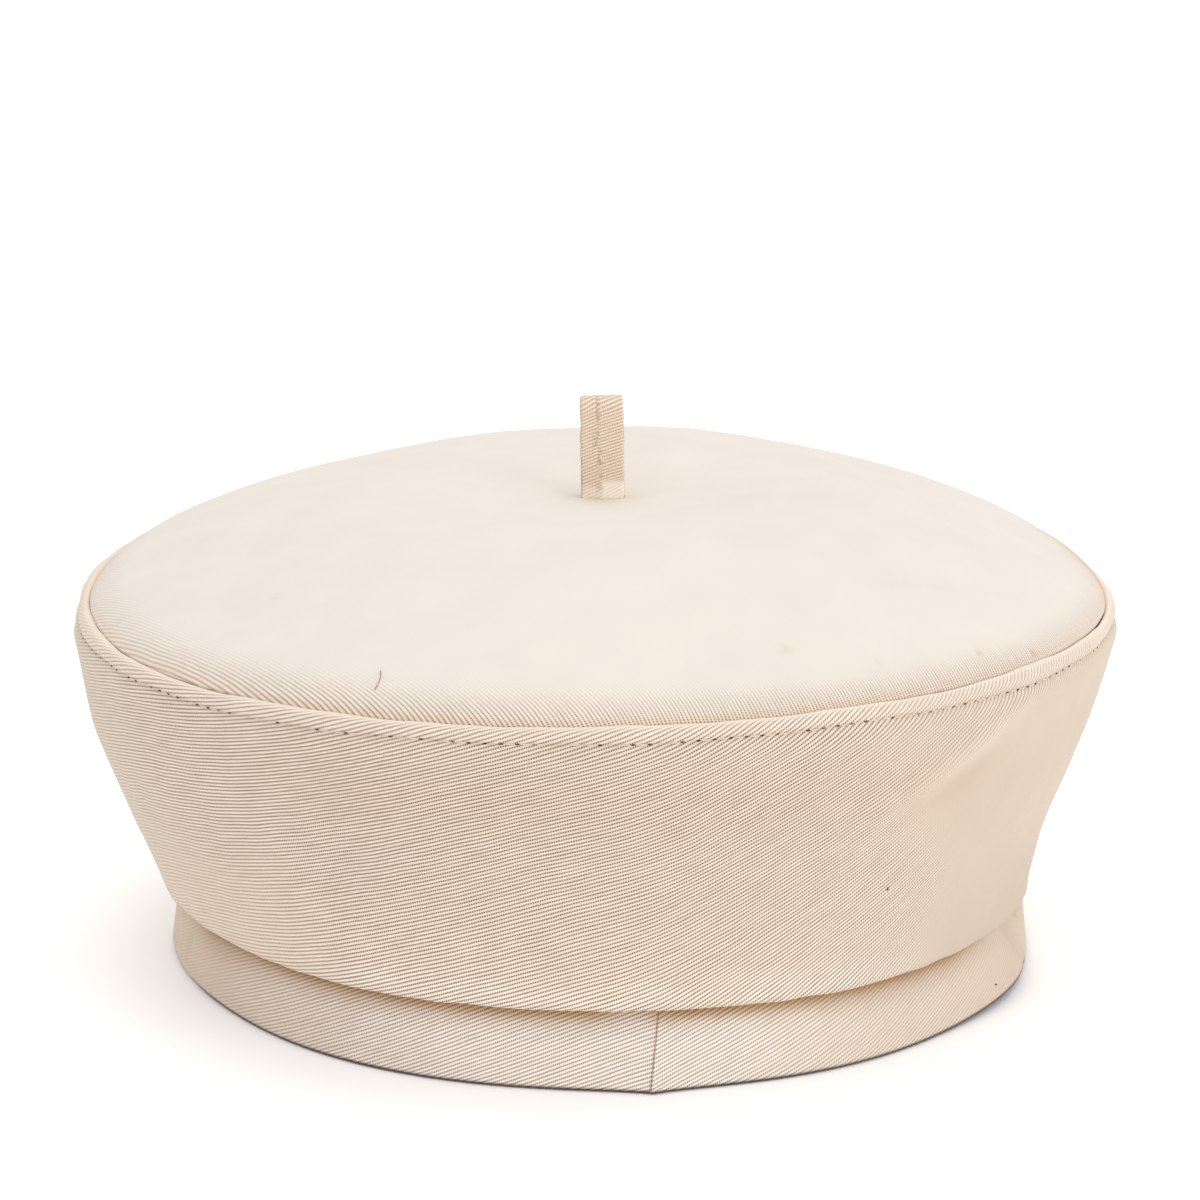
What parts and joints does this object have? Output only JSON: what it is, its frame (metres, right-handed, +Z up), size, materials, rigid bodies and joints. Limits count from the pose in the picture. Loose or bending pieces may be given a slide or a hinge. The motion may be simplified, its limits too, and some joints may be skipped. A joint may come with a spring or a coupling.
{
  "type": "cotton twill beret",
  "caption": "Round domed beret of cotton twill: flared side panel over a short headband with a front seam, and a small upright stalk loop on top.",
  "frame": {"origin": "centre of the headband's lower edge, on the surface that the beret stands on", "axes": "+Z up through the stalk, -Y toward the headband's closing seam, +X to the right seen from the seam's side"},
  "size_m": [0.2198, 0.2192, 0.1195],
  "materials": {
    "crown_twill": "matte cream cotton twill with a fine diagonal rib",
    "band_twill": "matte cream cotton twill, doubled, with a fine diagonal rib",
    "stalk_twill": "matte cream cotton twill strip with light thread"
  },
  "bodies": {
    "root": {"top_disc": "crown_twill", "side_panel": "crown_twill", "headband": "band_twill", "stalk_loop": "stalk_twill"}
  },
  "joints": []
}
